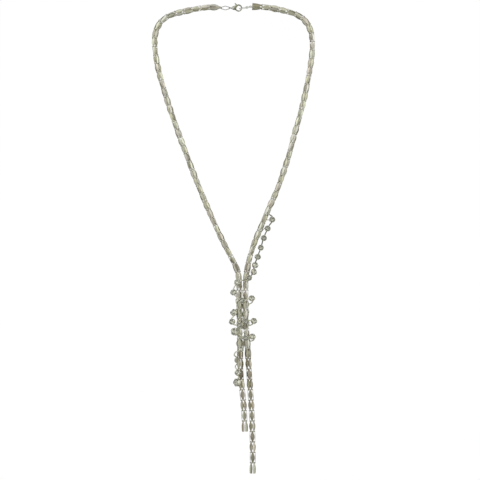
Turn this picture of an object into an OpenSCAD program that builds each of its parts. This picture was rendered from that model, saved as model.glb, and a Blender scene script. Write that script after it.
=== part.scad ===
// Lariat necklace: a loop of round cage chain with a lobster clasp, a knot wound with a string of
// round stones, and two hanging strands. X is to the wearer's left, Z is up and the front is -Y.
// The origin is at the nape, where the necklace hangs. All sizes are in millimetres.

/* [Chain] */
// Radius of the chain round the neck
chain_r = 2.8; // [2.5:0.1:3.0]
// Radius of the same chain where it is stretched by the knot
strand_r = 3.4; // [3.0:0.1:3.5]
// Distance between two rings of a fringe strand
row_pitch = 11.9; // [11.6:0.05:12]
// Full rows of the left fringe strand
left_rows = 7; // [5:1:7]
// Full rows of the right fringe strand
right_rows = 11; // [8:1:11]
// Radius of the wire ring between two rows
row_ring_r = 2.55; // [2.45:0.05:2.6]
// Radius of the wire of that ring
row_wire_r = 0.22; // [0.18:0.01:0.23]
// Greatest width of a flat bar
bar_w = 4.8; // [3.8:0.1:4.8]
// Thickness of a flat bar
bar_t = 0.4; // [0.3:0.05:0.45]
// Width of a bar at its eyes
bar_tip_w = 1.0; // [0.8:0.05:1.05]
// How far a bar bows out between its eyes
bar_bow = 0.3; // [0.2:0.05:0.4]
// Length of the blunt last bars
last_bar_l = 12; // [10:0.5:13]

/* [Stones] */
// Radius of a stone at its girdle
stone_r = 2.55; // [2.3:0.05:2.6]
// Height of the girdle above the wire
girdle_h = 2.8; // [2.75:0.05:2.9]
// Height of the table above the wire
table_h = 3.65; // [3.55:0.05:3.75]
// Radius of the table
table_r = 1.5; // [1.2:0.05:1.55]
// Radius of a cup
cup_r = 3.0; // [2.9:0.05:3.1]
// Height of the claws above the wire
claw_h = 3.5; // [3.4:0.05:3.6]
// Radius of the wire that carries the stones
string_r = 0.45; // [0.3:0.05:0.5]
// Radius of the hole in a cup that the wire passes through
cup_bore_r = 0.6; // [0.58:0.01:0.62]

/* [Clasp] */
// Outer radius of the claw
claw_r = 4.0; // [3.8:0.1:4.2]
// Inner radius of the claw
claw_inner_r = 2.6; // [2.5:0.1:2.7]
// Thickness of the clasp from front to back
clasp_t = 2.6; // [2.4:0.1:3.0]
// Thickness of the lever
lever_t = 1.1; // [0.9:0.1:1.1]
// Radius of the lever's pin
pin_r = 0.4; // [0.35:0.05:0.45]

/* [Hidden] */
steel = "silver";
dark_steel = "darkgray";
crystal = "gainsboro";

front = [0, -1, 0];
up = [0, 0, 1];

// Each route runs from the clasp end round the neck to the end of the fringe, as [x, z] points.
// The first tube_points of them belong to the chain, and the rest to the fringe strand.
tube_points = 27;
left_route = [
    [-22, 0.6], [-34, 0.8], [-48, -1.4], [-62, -4.4], [-75, -7.8], [-84.5, -13.2], [-91, -22],
    [-94, -35], [-93, -51], [-89.5, -71], [-84, -91], [-77.5, -111.5], [-70.5, -132], [-63, -153],
    [-55, -174], [-47, -195], [-38.5, -216], [-29.5, -237], [-20, -258], [-10, -278], [-1.6, -294],
    [2.2, -306], [2.4, -320], [2.4, -336], [2.9, -352], [2.9, -368], [3.4, -386.5],
    [3.6, -398], [3.8, -410], [4.7, -425], [6.4, -440], [7.8, -455], [8.6, -470], [9, -488]
];
right_route = [
    [18.6, 1.6], [31, 1], [45, -1.2], [58, -4.2], [69.5, -8.2], [78, -14.6], [84, -25.5],
    [86, -40], [85, -57], [81.8, -77], [77.5, -99], [71.8, -122], [66, -142], [60, -165],
    [52.5, -188.5], [44.5, -210.5], [36, -229], [28.5, -247], [21, -264.5], [15.5, -281],
    [12, -296], [10.1, -310], [9.7, -325], [9.8, -340], [9.8, -354], [10.8, -368],
    [12.2, -386.5], [12.7, -398], [13.5, -412], [14.6, -428], [15.9, -447], [17.2, -466], [17.6, -486],
    [18, -508], [17.8, -536]
];
// The strands are stretched from just above the knot downwards
stretch_top = -294;
stretch_end = -320;
chain_sides = 8;
// Space between the end of the chain and the first ring of the fringe
fringe_gap = 1.25;
// Half the outer width and half the opening of the square eye at each end of a bar
eye_reach = 0.84;
eye_opening = 0.58;
// A bar is at its widest from this share of its length to the same distance from its other end
shoulder = 0.33;
// The same place on a blunt last bar, its width there, and its width at the square end
last_shoulder = 0.4;
last_shoulder_w = 0.9;
last_end_w = 0.8;
// The blunt last bars splay out by this angle
last_splay = 2;
ring_sides = 16;
wire_sides = 5;

// The wire's route. The columns are x, y, z, the stone's scale, and the way the stone faces as an
// angle from the front towards +X. A scale of 0 is a bend of the wire with no stone.
string_rows = [
    [37.2, 0, -235.6, 0, 0],
    [39.8, 0, -241.2, 1, 10],
    [35, 0, -251.4, 1, -5],
    [30.4, 0, -262.3, 1, 8],
    [27.1, 0, -273.3, 1, 0],
    [23.4, 0, -283.7, 1, 12],
    [20, -0.6, -293.2, 1, 35],
    [18.4, -2.6, -300.8, 1, 40],
    [13.4, -5.2, -307.4, 1, 10],
    [0.8, -5, -313.2, 1, -50],
    [-3.4, -3.2, -323.9, 1, -35],
    [5.6, -5, -333.1, 1, 0],
    [16.4, -5, -330.8, 1, 30],
    [18.2, 0, -333.6, 0, 0],
    [16.2, 4.4, -336.6, 0, 0],
    [8, 5, -340, 1, 180],
    [-1.4, 4.4, -344.2, 0, 0],
    [-2.9, -2, -347.8, 1.1, -45],
    [-5.2, -3.2, -357.5, 1, -20],
    [3.2, -5, -361.4, 1, 5],
    [10.1, -5.2, -357, 1, -5],
    [18.6, -3.4, -356.6, 1, 25],
    [18.8, 1, -359.2, 0, 0],
    [16.4, 4.5, -361.4, 0, 0],
    [8.5, 5, -363.5, 1, 180],
    [-2, 3.8, -366, 0, 0],
    [-1.6, -5.6, -368.8, 1.3, -20],
    [9.6, -5.2, -375.7, 1, 0],
    [17, -5, -374.3, 1, 35],
    [19.8, 0, -376.8, 0, 0],
    [17.6, 4.6, -379.6, 0, 0],
    [9.4, 5, -382, 1, 180],
    [7.8, 0, -386, 0, 0],
    [3.8, -5.6, -389, 1, 0],
    [-1.6, -4.4, -392, 0, 0],
    [-3.2, 0.4, -396, 0, 0],
    [0.4, 5.2, -402, 1, 180],
    [-2, 1.5, -409, 0, 0],
    [1.2, -5.4, -415.8, 1, -10],
    [1.4, -5.6, -426.4, 1.3, -55]
];
side_stones = 7;
stone_rows = [for (i = [0 : len(string_rows) - 1]) if (string_rows[i][3] > 0) i];
stone_count = len(stone_rows);

function stone_name(i) = str("stone_", i < 9 ? "0" : "", i + 1);
// Half of the straight stretch of wire inside a cup
cup_half = 3.2;
string_sides = 5;
stone_sides = 8;

// Rings and links: radius of the wire, radii of the rings, and half lengths of the long links
ring_wire = 0.35;
clasp_ring_r = 2.1;
oval_half = 4.8;
oval_r = 1.75;
catch_half = 4.1;
catch_r = 2.6;
middle_r = 1.25;
end_link_half = 1.6;
end_link_r = 1.3;
eye_r = 1.0;
// How far the clasp's ring hangs off the middle of the clasp's eye
ring_pull = 0.2;
// How far the clasp's ring and the link in the claw lean forward from lying flat
clasp_ring_lean = 20;
catch_lean = 22;
// Space between the wires of two links that hang in each other
link_gap = 0.12;

// The clasp is drawn in the X-Z plane: a round claw, open at the top right, and a neck to its eye
claw_centre = [1.8, 0];
eye_centre = [-4.9, 0];
eye_outer = 1.5;
eye_hole = 0.95;
eye_t = 1.4;
eye_end_x = -3.1;
// The neck runs from its half height at the eye to the heights above and below at the claw
neck_half = 1.8;
neck_end_x = -1.6;
neck_above = 3.0;
neck_below = 2.4;
// Directions of the two sides of the mouth, seen from the centre of the claw
mouth_from = 30;
mouth_to = 121;
// The claw ends at tip_x, and the shut lever's tip stops short of it
tip_x = 4.4;
tip_gap = 0.25;

// The lever turns on a pin half way through the claw's wire, in a slot between two directions
pivot_angle = 145;
pivot_at = claw_centre + (claw_r + claw_inner_r) / 2 * [cos(pivot_angle), sin(pivot_angle)];
cheek_r = 1.4;
lever_hub_r = 1.05;
lever_bore_r = 0.5;
slot_t = lever_t + 0.3;
hub_room = 0.2;
// The pin ends this far inside the clasp's faces
pin_inset = 0.2;
slot_from = -42;
slot_to = 136;
slot_floor = -1;
arm_outer = 4.0;
arm_inner = 2.65;
arm_from = 20;
// The thumb tab's corners, as distance from the claw's centre and direction
tab_rows = [[3.4, 112], [5.2, 119], [6.9, 123], [6.9, 132], [5.2, 135], [3.4, 142]];

// Longer than any cut through the clasp, a link or a cup
far = 12;

function unit(v) = v / norm(v);
function in_space(p) = [p[0], 0, p[1]];
function clamp01(t) = max(0, min(1, t));
function polar(r, a) = r * [cos(a), sin(a)];

// Direction of a route at point i, from its two neighbours
function heading(p, i) = unit(p[min(i + 1, len(p) - 1)] - p[max(i - 1, 0)]);

// The part of v that is square to the direction d, at length 1
function square_to(v, d) = unit(v - (v * d) * d);

// One sideways direction for each point of a route, turned as little as possible from point to point
function side_ways(p, first) = [
    for (i = 0, s = square_to(first, heading(p, 0));
         i < len(p);
         i = i + 1, s = i < len(p) ? square_to(s, heading(p, i)) : s) s
];

// A closed tube along the route p, with one radius for each point
module swept_tube(p, radii, sides, first_side) {
    ways = side_ways(p, first_side);
    n = len(p);
    points = [
        for (i = [0 : n - 1])
            let (d = heading(p, i), s = ways[i], c = cross(d, s))
            for (k = [0 : sides - 1])
                let (a = 360 * (k + 0.5) / sides)
                p[i] + radii[i] * (cos(a) * s + sin(a) * c)
    ];
    walls = [
        for (i = [0 : n - 2], k = [0 : sides - 1])
            let (j = (k + 1) % sides)
            [i * sides + k, (i + 1) * sides + k, (i + 1) * sides + j, i * sides + j]
    ];
    start_cap = [[for (k = [0 : sides - 1]) k]];
    end_cap = [[for (k = [sides - 1 : -1 : 0]) (n - 1) * sides + k]];
    polyhedron(points, concat(start_cap, walls, end_cap));
}

// A point at distance s along a route of straight stretches
function lengths(p) = [
    for (i = 0, s = 0; i < len(p); i = i + 1, s = i < len(p) ? s + norm(p[i] - p[i - 1]) : s) s
];
function point_at(p, sums, s, i = 0) =
    i >= len(p) - 2 || s <= sums[i + 1]
        ? p[i] + (p[i + 1] - p[i]) * (s - sums[i]) / (sums[i + 1] - sums[i])
        : point_at(p, sums, s, i + 1);

function fringe_route(route) = [for (i = [tube_points - 1 : len(route) - 1]) in_space(route[i])];

// The places of the wire rings of a fringe strand
function ring_places(route, rows) =
    let (p = fringe_route(route), sums = lengths(p))
    [for (i = [0 : rows]) point_at(p, sums, fringe_gap + i * row_pitch)];

// The direction that lies at angle a round the strand, from the front towards +X
function round_way(d, a) = let (f = square_to(front, d)) cos(a) * f + sin(a) * cross(f, d);

// Points of one wire ring round the strand
function ring_points(centre, d) = [
    for (i = [0 : ring_sides - 1])
        let (way = round_way(d, 360 * (i + 0.5) / ring_sides))
        for (k = [0 : wire_sides - 1])
            let (a = 360 * k / wire_sides)
            centre + row_ring_r * way + row_wire_r * (cos(a) * way + sin(a) * d)
];
ring_faces = [
    for (i = [0 : ring_sides - 1], k = [0 : wire_sides - 1])
        let (j = (i + 1) % ring_sides, m = (k + 1) % wire_sides)
        [i * wire_sides + k, j * wire_sides + k, j * wire_sides + m, i * wire_sides + m]
];

// The outline of a bar seen from its side, as [outward, along, half width] rows. It starts at the
// foot of the eye at the top and goes round clockwise; an eye's hole is a square on its corner.
function bar_outline(l) =
    let (t = bar_t / 2, e = eye_reach, w = bar_tip_w / 2, m = bar_w / 2, b = bar_bow) [
    [t, -e + t, w], [b + t, -shoulder * l, m], [b + t, (shoulder - 1) * l, m], [t, e - t - l, w],
    [e, -l, w], [0, -e - l, w], [-e, -l, w], [-t, e - t - l, w],
    [b - t, (shoulder - 1) * l, m], [b - t, -shoulder * l, m], [-t, -e + t, w],
    [-e, 0, w], [0, e, w], [e, 0, w]
];

// The same for a last bar, which has an eye at the top only and ends square
function blunt_outline(l) =
    let (
        t = bar_t / 2,
        e = eye_reach,
        w = bar_tip_w / 2,
        b = bar_bow,
        m = last_shoulder_w * bar_w / 2,
        n = last_end_w * bar_w / 2
    ) [
    [t, -e + t, w], [b + t, -last_shoulder * l, m], [t, -l, n],
    [-t, -l, n], [b - t, -last_shoulder * l, m], [-t, -e + t, w],
    [-e, 0, w], [0, e, w], [e, 0, w]
];
function eye_outline(along) = [
    for (k = [0 : 3]) [eye_opening * cos(90 * k), along - eye_opening * sin(90 * k), bar_tip_w / 2]
];

// Faces between an outline and the same outline on the other side of the bar
function rim_faces(first, n, total) = [
    for (k = [0 : n - 1])
        let (j = (k + 1) % n)
        [first + k, first + j, total + first + j, total + first + k]
];
function flipped(faces) = [for (f = faces) [for (i = [len(f) - 1 : -1 : 0]) f[i]]];

// One cheek of a full bar, in pieces round its two holes (14 to 17 and 18 to 21) and along its blade
bar_cheek = [
    [13, 14, 17, 12], [12, 17, 16, 11], [11, 16, 15, 10], [13, 0, 15, 14], [0, 10, 15],
    [0, 1, 9, 10], [1, 2, 8, 9], [2, 3, 7, 8],
    [3, 4, 18, 21], [3, 21, 7], [7, 21, 20, 6], [4, 5, 19, 18], [5, 6, 20, 19]
];
blunt_cheek = [
    [8, 9, 12, 7], [7, 12, 11, 6], [6, 11, 10, 5], [8, 0, 10, 9], [0, 5, 10],
    [0, 1, 4, 5], [1, 2, 3, 4]
];

module bars(points, cheek, outer, holes) {
    total = outer + 4 * holes;
    faces = concat(
        flipped(cheek),
        [for (f = cheek) [for (i = f) i + total]],
        rim_faces(0, outer, total),
        holes > 0 ? rim_faces(outer, 4, total) : [],
        holes > 1 ? rim_faces(outer + 4, 4, total) : []
    );
    count = len(points) / (2 * total);
    polyhedron(points, [for (b = [0 : count - 1], f = faces) [for (i = f) i + b * 2 * total]]);
}

// Both sides of one bar from its outline: along runs from eye to eye, out points away from the strand
function bar_points(outline, eye, out, along) =
    let (wide = cross(along, out))
    [for (side = [-1, 1], q = outline) eye + q[0] * out + q[1] * along + side * q[2] * wide];

// Bars stand at the corners of a row, and every other row is turned by half a corner
function bar_angle(row, rows, k) = 90 * k + ((rows - row) % 2 == 0 ? 45 : 0);

module fringe_bars(places, rows) {
    points = [
        for (row = [0 : rows - 1], k = [0 : 3])
            let (
                a = bar_angle(row, rows, k),
                top = places[row] + row_ring_r * round_way(heading(places, row), a),
                low = places[row + 1] + row_ring_r * round_way(heading(places, row + 1), a),
                along = unit(top - low),
                out = square_to(round_way(-along, a), along),
                l = norm(top - low),
                outline = concat(bar_outline(l), eye_outline(0), eye_outline(-l))
            )
            for (q = bar_points(outline, top, out, along)) q
    ];
    bars(points, bar_cheek, 14, 2);
}

module last_bars(places, rows) {
    d = heading(places, rows);
    outline = concat(blunt_outline(last_bar_l), eye_outline(0));
    points = [
        for (k = [0 : 3])
            let (
                a = bar_angle(rows, rows, k),
                way = round_way(d, a),
                along = -(cos(last_splay) * d + sin(last_splay) * way),
                out = square_to(way, along)
            )
            for (q = bar_points(outline, places[rows] + row_ring_r * way, out, along)) q
    ];
    bars(points, blunt_cheek, 9, 1);
}

module fringe(route, rows) {
    places = ring_places(route, rows);
    fringe_bars(places, rows);
    last_bars(places, rows);
    points = [for (i = [0 : rows], q = ring_points(places[i], heading(places, i))) q];
    per_ring = ring_sides * wire_sides;
    polyhedron(points, [for (i = [0 : rows], f = ring_faces) [for (k = f) k + i * per_ring]]);
}

module chain(route) {
    p = [for (i = [0 : tube_points - 1]) in_space(route[i])];
    radii = [
        for (q = p)
            let (t = clamp01((stretch_top - q[2]) / (stretch_top - stretch_end)))
            chain_r + t * (strand_r - chain_r)
    ];
    swept_tube(p, radii, chain_sides, front);
}

function row_place(i) = [string_rows[i][0], string_rows[i][1], string_rows[i][2]];
string_places = [for (i = [0 : len(string_rows) - 1]) row_place(i)];
function row_way(i) = heading(string_places, i);

// The way a stone faces: as the table says, and square to the wire
function stone_way(i) = let (a = string_rows[i][4]) square_to([sin(a), -cos(a), 0], row_way(i));

// Puts a child drawn round +Z, with the wire along X, at its place on the wire
module on_string(i) {
    w = stone_way(i);
    t = row_way(i);
    s = cross(w, t);
    p = row_place(i);
    multmatrix([
        [t[0], s[0], w[0], p[0]],
        [t[1], s[1], w[1], p[1]],
        [t[2], s[2], w[2], p[2]],
        [0, 0, 0, 1]
    ]) scale(string_rows[i][3]) children();
}

module stone_string() {
    p = [
        for (i = [0 : len(string_rows) - 1])
            let (half = cup_half * string_rows[i][3], t = row_way(i))
            for (q = half > 0 ? [row_place(i) - half * t, row_place(i) + half * t] : [row_place(i)]) q
    ];
    color(dark_steel) swept_tube(p, [for (q = p) string_r], string_sides, up);
}

// A cup turned as one piece, drilled for the wire, its rim slotted into four claws
module cup() {
    base = -0.95;
    base_r = 2.2;
    side_from = -0.1;
    seat = 0.84;
    seat_r = 0.35;
    lip_r = 2.28;
    lip_h = girdle_h + 0.42;
    groove_r = stone_r + 0.1;
    groove_low = girdle_h - 0.12;
    groove_top = girdle_h + 0.14;
    slot_w = 2.4;
    slot_h = 1.9;
    difference() {
        rotate_extrude($fn = 48)
            polygon([
                [0, base], [base_r, base], [cup_r, side_from], [cup_r, claw_h], [lip_r, claw_h],
                [lip_r, lip_h], [groove_r, groove_top], [groove_r, groove_low],
                [seat_r, seat], [0, seat]
            ]);
        rotate([0, 90, 0]) cylinder(r = cup_bore_r, h = far, center = true, $fn = 32);
        for (a = [0, 90])
            rotate(a + 45) translate([-far / 2, -slot_w / 2, slot_h]) cube([far, slot_w, far]);
    }
}

module stone_cups(first, last) {
    color(steel)
        for (i = [first : last]) on_string(stone_rows[i]) cup();
}

// A round stone with a flat table, a crown of facets, a girdle edge and a pointed back
module cut_stone() {
    pavilion = 1.8;
    culet = girdle_h - pavilion;
    n = stone_sides;
    points = concat(
        [for (k = [0 : n - 1]) concat(polar(table_r, 360 * k / n), table_h)],
        [for (k = [0 : n - 1]) concat(polar(stone_r, 360 * (k + 0.5) / n), girdle_h)],
        [[0, 0, culet]]
    );
    faces = concat(
        [[for (k = [n - 1 : -1 : 0]) k]],
        [for (k = [0 : n - 1]) [k, (k + 1) % n, n + k]],
        [for (k = [0 : n - 1]) [(k + 1) % n, n + (k + 1) % n, n + k]],
        [for (k = [0 : n - 1]) [n + k, n + (k + 1) % n, 2 * n]]
    );
    polyhedron(points, faces);
}

module stone(i) {
    color(crystal) on_string(stone_rows[i]) cut_stone();
}

// A round wire ring in the X-Z plane
module wire_ring(r) {
    rotate([90, 0, 0]) rotate_extrude($fn = 48) translate([r, 0]) circle(r = ring_wire, $fn = 24);
}

// A long link in the X-Z plane: two half rings and two straight wires
module long_link(half, r) {
    for (s = [-1, 1]) {
        translate([s * (half - r), 0, 0])
            intersection() {
                wire_ring(r);
                translate([s > 0 ? 0 : -far, -far / 2, -far / 2]) cube([far, far, far]);
            }
        translate([0, 0, s * r])
            rotate([0, 90, 0]) cylinder(r = ring_wire, h = 2 * (half - r), center = true, $fn = 24);
    }
}

// Extrudes an outline drawn in the X-Z plane to the thickness t, centred on Y = 0
module plate(t) {
    rotate([90, 0, 0]) translate([0, 0, -t / 2]) linear_extrude(t) children();
}

// A wedge from the point p between the directions a and b
module wedge(p, a, b) {
    middle = (a + b) / 2;
    polygon([p, p + polar(far, a), p + polar(1.4 * far, middle), p + polar(far, b)]);
}

module clasp_outline() {
    difference() {
        union() {
            translate(claw_centre) circle(r = claw_r, $fn = 96);
            polygon([
                [eye_centre[0], neck_half], [neck_end_x, neck_above],
                [neck_end_x, -neck_below], [eye_centre[0], -neck_half]
            ]);
            translate(eye_centre) circle(r = eye_outer, $fn = 48);
        }
        difference() {
            translate(claw_centre) circle(r = claw_inner_r, $fn = 96);
            translate(pivot_at) circle(r = cheek_r, $fn = 48);
        }
        intersection() {
            wedge(claw_centre, mouth_from, mouth_to);
            translate([tip_x - far, 0]) square(far);
            translate(claw_centre) circle(r = claw_r + 1, $fn = 48);
        }
        translate(eye_centre) circle(r = eye_hole, $fn = 48);
    }
}

module clasp_body() {
    color(steel) {
        difference() {
            plate(clasp_t) clasp_outline();
            // The slot that the lever moves in
            plate(slot_t) {
                intersection() {
                    wedge(pivot_at, slot_from, slot_to);
                    translate([-far, slot_floor]) square([far + tip_x, far]);
                }
                translate(pivot_at) circle(r = lever_hub_r + hub_room, $fn = 48);
            }
            // The eye is thinner than the claw
            for (y = [eye_t / 2, -eye_t / 2 - far])
                translate([eye_end_x - far, y, -far / 2]) cube(far);
        }
        translate([pivot_at[0], 0, pivot_at[1]])
            rotate([90, 0, 0]) cylinder(r = pin_r, h = clasp_t - 2 * pin_inset, center = true, $fn = 32);
    }
}

module clasp_lever() {
    color(dark_steel)
        plate(lever_t)
            difference() {
                union() {
                    translate(pivot_at) circle(r = lever_hub_r, $fn = 48);
                    intersection() {
                        difference() {
                            translate(claw_centre) circle(r = arm_outer, $fn = 96);
                            translate(claw_centre) circle(r = arm_inner, $fn = 96);
                        }
                        wedge(claw_centre, arm_from, pivot_angle);
                        translate([-far, 0]) square([far + tip_x - tip_gap, far]);
                    }
                    polygon([for (row = tab_rows) claw_centre + polar(row[0], row[1])]);
                }
                translate(pivot_at) circle(r = lever_bore_r, $fn = 32);
            }
}

// Each link starts this far before the end of the one that it hangs in
link_hold = 2 * ring_wire + link_gap;

// Places of the rings and links between the clasp and the left chain
clasp_ring_x = eye_centre[0] - ring_pull - clasp_ring_r;
oval_x = clasp_ring_x - clasp_ring_r + link_hold - oval_half;
left_eye_x = oval_x - oval_half + link_hold - eye_r;

// The links from the claw to the right chain climb at these angles, from the wire inside the claw
catch_rise = 10;
middle_rise = 12;
end_rise = 12;
function along_rise(a) = [cos(a), 0, sin(a)];
catch_from = [2.8, 0, -0.85];
catch_to = catch_from + 2 * catch_half * along_rise(catch_rise);
middle_from = catch_to - link_hold * along_rise(middle_rise);
middle_to = middle_from + 2 * middle_r * along_rise(middle_rise);
end_from = middle_to - link_hold * along_rise(end_rise);
end_to = end_from + 2 * end_link_half * along_rise(end_rise);
right_eye = end_to + (eye_r - link_hold) * along_rise(end_rise);

module clasp_ring() {
    color(steel)
        translate([clasp_ring_x, 0, 0])
            rotate([90 + clasp_ring_lean, 0, 0]) wire_ring(clasp_ring_r);
}

module oval_link() {
    color(steel) translate([oval_x, 0, 0]) long_link(oval_half, oval_r);
}

module catch_ring() {
    color(steel)
        translate((catch_from + catch_to) / 2)
            rotate([0, -catch_rise, 0])
                rotate([90 + catch_lean, 0, 0]) long_link(catch_half, catch_r);
}

module middle_ring() {
    color(steel)
        translate((middle_from + middle_to) / 2)
            rotate([0, -middle_rise, 0]) rotate([catch_lean, 0, 0]) wire_ring(middle_r);
}

module end_link() {
    color(steel)
        translate((end_from + end_to) / 2)
            rotate([0, -end_rise, 0])
                rotate([90 + catch_lean, 0, 0]) long_link(end_link_half, end_link_r);
}

// The chain ends: a turned cap beside the chain, with a wire eye on its point
cap_gap = 0.2;
module left_end() {
    chain_end = in_space(left_route[0]);
    cap_r = 2.7;
    rim_l = 1;
    point_r = 1;
    cap_l = 2.5;
    color(dark_steel) {
        translate(chain_end + [cap_gap, 0, 0])
            rotate([0, 90, 0])
                rotate_extrude($fn = 48)
                    polygon([[0, 0], [cap_r, 0], [cap_r, rim_l], [point_r, cap_l], [0, cap_l]]);
        translate([left_eye_x, 0, 0]) rotate([90, 0, 0]) wire_ring(eye_r);
    }
}

module right_end() {
    cap_r = 1.5;
    cap_l = 2.4;
    color(dark_steel) {
        translate([right_route[0][0] - cap_gap - cap_l, 0, right_eye[2]])
            rotate([0, 90, 0]) cylinder(r = cap_r, h = cap_l, $fn = 48);
        translate(right_eye) rotate([catch_lean, 0, 0]) wire_ring(eye_r);
    }
}

module left_chain() {
    color(steel) chain(left_route);
}

module right_chain() {
    color(steel) chain(right_route);
}

module left_fringe() {
    color(steel) fringe(left_route, left_rows);
}

module right_fringe() {
    color(steel) fringe(right_route, right_rows);
}

left_chain();
right_chain();
left_fringe();
right_fringe();
stone_string();
stone_cups(0, side_stones - 1);  // stone_cups_side
stone_cups(side_stones, stone_count - 1);  // stone_cups_knot
for (i = [0 : stone_count - 1])
    stone(i);
clasp_body();
clasp_lever();
clasp_ring();
oval_link();
catch_ring();
middle_ring();
end_link();
left_end();
right_end();
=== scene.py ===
"""A long lariat necklace: cage chain with a lobster clasp, a knot wound with cut stones, two strands."""
import math
import random
from collections import namedtuple

import bmesh
import bpy
import numpy as np
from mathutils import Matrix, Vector


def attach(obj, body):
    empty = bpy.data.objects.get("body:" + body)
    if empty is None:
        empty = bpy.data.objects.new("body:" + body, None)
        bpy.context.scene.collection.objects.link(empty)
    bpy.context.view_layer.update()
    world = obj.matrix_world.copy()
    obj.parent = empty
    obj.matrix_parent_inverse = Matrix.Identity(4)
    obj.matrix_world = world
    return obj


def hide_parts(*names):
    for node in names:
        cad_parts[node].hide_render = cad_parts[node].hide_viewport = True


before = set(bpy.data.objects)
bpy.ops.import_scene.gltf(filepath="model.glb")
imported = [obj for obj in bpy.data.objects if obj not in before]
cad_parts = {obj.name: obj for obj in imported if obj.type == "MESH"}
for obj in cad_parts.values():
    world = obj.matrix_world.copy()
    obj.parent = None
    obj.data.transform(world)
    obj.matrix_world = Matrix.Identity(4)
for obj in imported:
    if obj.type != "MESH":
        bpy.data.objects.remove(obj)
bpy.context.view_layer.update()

# Sizes are in millimetres, as in the part's source, and MM brings them to metres
MM = 0.001
FRONT = np.array([0.0, -1.0, 0.0])
UP = np.array([0.0, 0.0, 1.0])

# The chain
CHAIN_ROUTE_POINTS = 27
LEFT_ROUTE = [
    (-22, 0.6), (-34, 0.8), (-48, -1.4), (-62, -4.4), (-75, -7.8), (-84.5, -13.2), (-91, -22),
    (-94, -35), (-93, -51), (-89.5, -71), (-84, -91), (-77.5, -111.5), (-70.5, -132), (-63, -153),
    (-55, -174), (-47, -195), (-38.5, -216), (-29.5, -237), (-20, -258), (-10, -278), (-1.6, -294),
    (2.2, -306), (2.4, -320), (2.4, -336), (2.9, -352), (2.9, -368), (3.4, -386.5),
    (3.6, -398), (3.8, -410), (4.7, -425), (6.4, -440), (7.8, -455), (8.6, -470), (9, -488),
]
RIGHT_ROUTE = [
    (18.6, 1.6), (31, 1), (45, -1.2), (58, -4.2), (69.5, -8.2), (78, -14.6), (84, -25.5),
    (86, -40), (85, -57), (81.8, -77), (77.5, -99), (71.8, -122), (66, -142), (60, -165),
    (52.5, -188.5), (44.5, -210.5), (36, -229), (28.5, -247), (21, -264.5), (15.5, -281),
    (12, -296), (10.1, -310), (9.7, -325), (9.8, -340), (9.8, -354), (10.8, -368),
    (12.2, -386.5), (12.7, -398), (13.5, -412), (14.6, -428), (15.9, -447), (17.2, -466),
    (17.6, -486), (18, -508), (17.8, -536),
]
# Rows of the hanging strands, which start FRINGE_GAP past the route's point number CHAIN_ROUTE_POINTS
LEFT_ROWS = 7
RIGHT_ROWS = 11
FRINGE_GAP = 1.25
FRINGE_PITCH = 11.9
# The chain by height: z, ring radius, bar width, width of its tips, fullness of its outline, row pitch,
# how far the chain twists to and fro in degrees, and how far a bar strays from its place in degrees.
# A fullness of 1 is a sine from tip to tip.
CHAIN_STYLE = [
    (-436, 2.75, 4.6, 1.1, 1.15, 11.9, 0, 0),
    (-418, 2.75, 4.6, 1.1, 1.05, 11.9, 22, 2),
    (-388, 2.8, 4.2, 1.1, 0.9, 11.6, 26, 5),
    (-300, 2.8, 3.6, 1.0, 0.8, 10.4, 34, 8),
    (-280, 2.5, 4.0, 1.1, 0.8, 9.9, 34, 4),
    (-60, 2.55, 4.1, 1.1, 0.8, 9.9, 34, 4),
    (-10, 2.7, 4.3, 1.1, 0.8, 9.9, 34, 4),
]
# The twist goes to and fro once in TWIST_ROWS rows. The last ring is at TWIST_START of that turn.
TWIST_ROWS = 7.5
TWIST_START = 0.25
BARS_A_ROW = 4
# The chain is a little flat: bars lie up to this many degrees nearer to its front and back
FLATTEN = 5
RING_WIRE_R = 0.19
RING_SEGMENTS = 24
RING_SIDES = 8
RING_TINTS = (0.4, 0.8)
# A bar's thickness, how far its middle bows outwards, and how high its ridge stands over its edges
BAR_T = 0.3
BAR_BOW = 0.15
BAR_RIDGE = 0.36
# Painted shade in the joints: how much darker a bar's ends and eyes are painted than its middle
END_SHADE = 0.14
# The bars' usual tint, and how far each one's own shade is drawn towards it
USUAL_TINT = 0.45
EVENNESS = 0.5
# Painted light and shade on a bar: how much lighter one facet may be painted than its ridge, with the other
# as much darker, and how much darker its long edges are painted
FACET_SHADE = 0.36
EDGE_SHADE = 0.35
# The hanging bars are darker than the rest, and those that face the front alone are darker still, with
# painted shade for the dim room in front that they mirror
HANGING_SHADE = 0.38
FACING_SHADE = 0.15
# The first row at the clasp is uneven, and across the nape the chain gets darker from TOP_SHADE_Z up
FIRST_TINTS = (-0.3, 1.0)
TOP_SHADE = 0.1
TOP_SHADE_Z = -40
TOP_FADE = 30
# The bars that hang free at a strand's end
LAST_BAR_L = 12
LAST_SPLAY = math.radians(1.5)
LAST_TAPER = 0.2
# The left chain's first row is gathered to a point, and the right chain's first row is open
GATHER_X = -19.2
GATHER_R = 0.75
GATHER_BOW = 1.2
OPEN_L = 11.2
OPEN_SPLAY = math.radians(5)
# The rolled eyes at a bar's ends
EYE_R = 0.52
EYE_T = 0.2

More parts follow.
